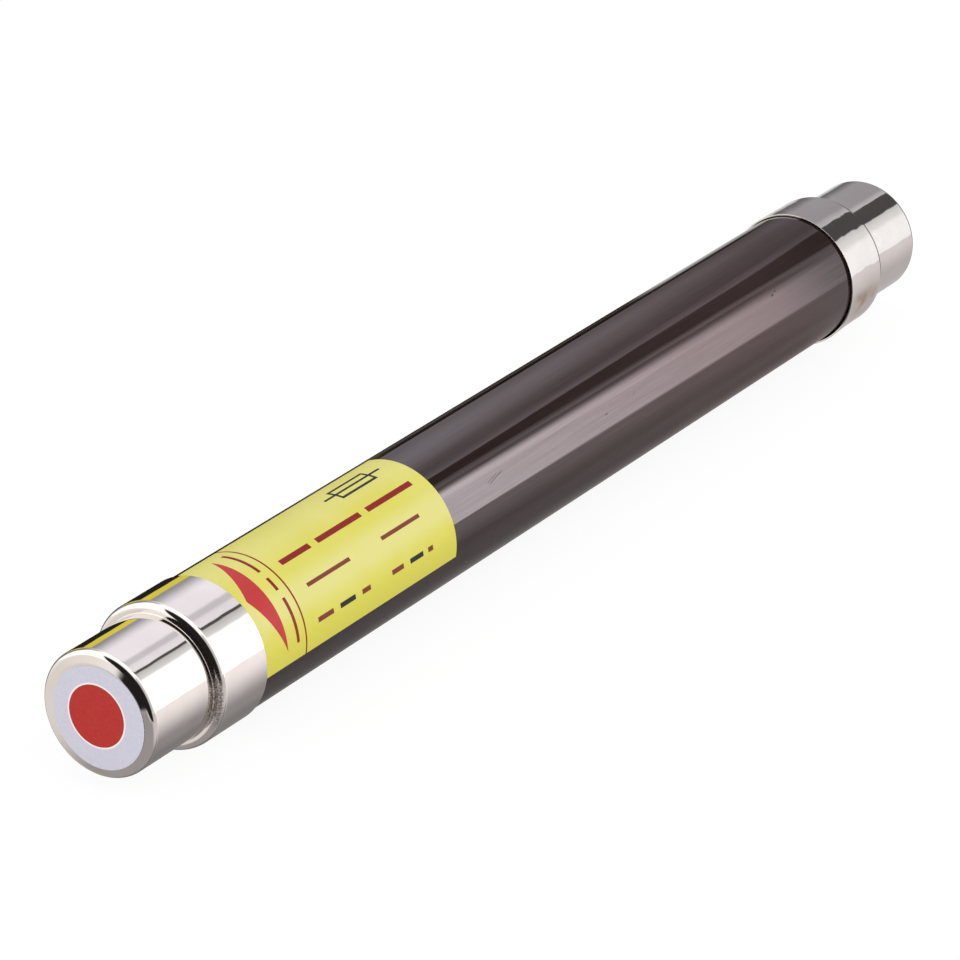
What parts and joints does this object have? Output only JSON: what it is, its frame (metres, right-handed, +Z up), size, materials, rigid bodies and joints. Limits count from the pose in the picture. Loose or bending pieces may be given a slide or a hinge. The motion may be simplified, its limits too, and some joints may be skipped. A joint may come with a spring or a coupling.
{
  "type": "high voltage cartridge fuse",
  "caption": "High voltage cartridge fuse-link: glazed brown tube between stepped bright end caps, with wound elements on a star core in sand and a spring striker behind a label.",
  "frame": {"origin": "middle of the fuse, on its axis, half way between the two contact end faces", "axes": "+X along the fuse's axis from the striker end to the blind end, +Z up, the body label towards -Y and +Z"},
  "size_m": [0.5082, 0.0538, 0.0536],
  "materials": {
    "brown_glaze": "gloss",
    "nickel_plate": "polished nickel plate",
    "seal_rubber": "matte",
    "copper_sheet": "drawn copper",
    "turned_brass": "turned",
    "white_ceramic": "unglazed",
    "silver_strip": "rolled silver",
    "tin_solder": "cast",
    "quartz_sand": "packed grains",
    "zinc_steel": "zinc plated",
    "spring_steel": "drawn wire",
    "striker_steel": "ground",
    "resistance_wire": "drawn wire",
    "fibre_insulation": "pressed fibre",
    "yellow_foil": "printed foil",
    "lilac_label": "printed paper, film faced",
    "red_label": "printed paper, film faced"
  },
  "bodies": {
    "fuse_body": {"porcelain_tube": "brown_glaze", "striker_end_cap": "nickel_plate", "blind_end_cap": "nickel_plate", "striker_end_gasket": "seal_rubber", "blind_end_gasket": "seal_rubber", "striker_end_contact_plate": "copper_sheet", "blind_end_contact_plate": "copper_sheet", "sand_fill_plug": "turned_brass", "winding_core": "white_ceramic", "fuse_element_1": "silver_strip", "fuse_element_2": "silver_strip", "fuse_element_3": "silver_strip", "solder_beads": "tin_solder", "quartz_sand": "quartz_sand", "striker_housing": "zinc_steel", "housing_rivets": "turned_brass", "striker_spring": "spring_steel", "striker_wire": "resistance_wire", "wire_bush": "fibre_insulation", "wire_ferrule": "turned_brass", "body_label": "yellow_foil", "end_label": "lilac_label"},
    "striker": {"striker_pin": "striker_steel", "end_label_centre": "red_label"}
  },
  "joints": [
    {"name": "striker_slide", "type": "slide", "parent": "fuse_body", "child": "striker", "axis": [-1, 0, 0], "range_m": [0, 0.035], "deforming": ["striker_spring"]}
  ]
}
